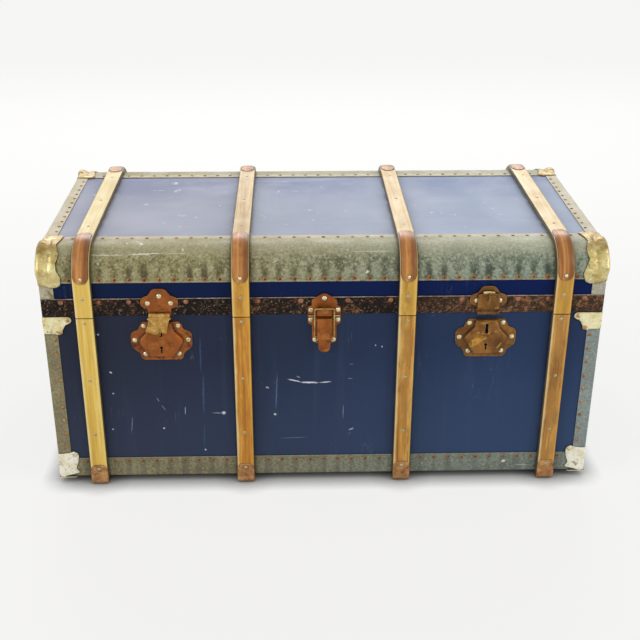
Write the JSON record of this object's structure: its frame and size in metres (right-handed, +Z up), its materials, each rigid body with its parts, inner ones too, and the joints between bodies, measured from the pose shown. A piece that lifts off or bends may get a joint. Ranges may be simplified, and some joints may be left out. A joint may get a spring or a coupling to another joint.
{
  "type": "travelling trunk",
  "caption": "Slatted travelling trunk: hinged lid with rounded front and back edges, hasp locks, draw bolt, corner caps, end handles and lid stays.",
  "frame": {"origin": "centre of the trunk's footprint, on the floor", "axes": "+X along the trunk to the right, +Y from the front to the back, +Z up"},
  "size_m": [0.9496, 0.4932, 0.4394],
  "materials": {
    "blue_board": "blue painted plywood, worn satin",
    "fibre": "mottled olive-grey vulcanised fibre, matt",
    "steel_band": "black japanning worn to rust",
    "slat_yellow": "varnished ash, yellow",
    "slat_honey": "varnished ash, honey brown",
    "cap_brown": "brown lacquered pressed steel",
    "corner_brass": "worn polished brass",
    "corner_pale": "pale pitted brass",
    "copper_plate": "copper-bronzed steel, satin",
    "bronze_plate": "brown bronzed steel, satin",
    "strap_brass": "rubbed brass",
    "wire_brass": "bright brass wire",
    "rivet_pale": "pale brass heads",
    "nail_rust": "rusty iron heads",
    "rivet_copper": "copper heads",
    "hinge_steel": "dark bronzed steel",
    "pin_steel": "plain steel pin",
    "stay_steel": "brassed steel",
    "handle_leather": "dark brown leather",
    "lining_paper": "buff lining paper",
    "raw_wood": "bare softwood"
  },
  "bodies": {
    "body": {"body_front_panel": "blue_board", "body_back_panel": "blue_board", "body_left_panel": "blue_board", "body_right_panel": "blue_board", "body_floor": "blue_board", "body_lining": "lining_paper", "rim_tongue": "raw_wood", "binding_corners": "fibre", "binding_bottom_front": "fibre", "binding_bottom_back": "fibre", "binding_bottom_ends": "fibre", "slat_front_1": "slat_yellow", "slat_front_2": "slat_honey", "slat_front_3": "slat_honey", "slat_front_4": "slat_honey", "slats_back": "slat_honey", "bottom_runners": "slat_honey", "slat_foot_caps": "cap_brown", "bottom_corner_caps": "corner_pale", "rim_corner_plates": "corner_pale", "lock_left": "copper_plate", "lock_right": "bronze_plate", "draw_bolt_base": "copper_plate", "hinge_leaves_lower": "hinge_steel", "hinge_pins": "pin_steel", "stay_keepers": "stay_steel", "handle_loops": "hinge_steel", "body_rivets": "rivet_pale", "body_nails": "nail_rust"},
    "lid": {"lid_shell": "blue_board", "lid_end_left": "blue_board", "lid_end_right": "blue_board", "lid_lining": "lining_paper", "lid_band": "steel_band", "binding_lid_front": "fibre", "binding_lid_back": "fibre", "binding_lid_ends": "fibre", "lid_slat_1": "slat_yellow", "lid_slat_2": "slat_honey", "lid_slat_3": "slat_honey", "lid_slat_4": "slat_honey", "slat_bend_caps": "cap_brown", "lid_corner_caps_front": "corner_brass", "lid_corner_caps_back": "corner_brass", "hasp_plate_left": "copper_plate", "hasp_plate_right": "bronze_plate", "draw_bolt_catch": "copper_plate", "hinge_leaves_upper": "hinge_steel", "quadrant_stays": "stay_steel", "lid_nails": "nail_rust", "lid_rivets": "rivet_pale", "band_rivets": "rivet_copper"},
    "hasp_left": {"hasp_strap_left": "strap_brass"},
    "hasp_right": {"hasp_strap_right": "bronze_plate"},
    "lever": {"draw_bolt_lever": "copper_plate"},
    "bail": {"draw_bolt_bail": "wire_brass"},
    "handle_left": {"handle_left": "handle_leather"},
    "handle_right": {"handle_right": "handle_leather"},
    "bolt_left": {"lock_bolt_left": "pin_steel"},
    "bolt_right": {"lock_bolt_right": "pin_steel"}
  },
  "joints": [
    {"name": "lid_hinge", "type": "hinge", "parent": "body", "child": "lid", "pos_m": [0, 0.2386, 0.319], "axis": [-1, 0, 0], "range_deg": [0, 77]},
    {"name": "hasp_left_hinge", "type": "hinge", "parent": "lid", "child": "hasp_left", "pos_m": [-0.267, -0.2383, 0.3218], "axis": [-1, 0, 0], "range_deg": [-14, 162]},
    {"name": "hasp_right_hinge", "type": "hinge", "parent": "lid", "child": "hasp_right", "pos_m": [0.267, -0.2383, 0.3218], "axis": [-1, 0, 0], "range_deg": [-178, 0]},
    {"name": "draw_bolt_lever_pivot", "type": "hinge", "parent": "body", "child": "lever", "pos_m": [0, -0.2381, 0.311], "axis": [-1, 0, 0], "range_deg": [0, 100]},
    {"name": "draw_bolt_bail_pivot", "type": "hinge", "parent": "lever", "child": "bail", "pos_m": [0, -0.2381, 0.282], "axis": [-1, 0, 0], "range_deg": [-100, 0]},
    {"name": "handle_left_swing", "type": "hinge", "parent": "body", "child": "handle_left", "pos_m": [-0.4678, 0, 0.215], "axis": [0, 1, 0], "range_deg": [0, 120]},
    {"name": "handle_right_swing", "type": "hinge", "parent": "body", "child": "handle_right", "pos_m": [0.4678, 0, 0.215], "axis": [0, -1, 0], "range_deg": [0, 120]},
    {"name": "lock_bolt_left_slide", "type": "slide", "parent": "body", "child": "bolt_left", "axis": [1, 0, 0], "range_m": [-0.009, 0]},
    {"name": "lock_bolt_right_slide", "type": "slide", "parent": "body", "child": "bolt_right", "axis": [1, 0, 0], "range_m": [-0.009, 0]}
  ],
  "couplings": [
    {"joint": "draw_bolt_bail_pivot", "follows": "draw_bolt_lever_pivot", "ratio": -1}
  ]
}
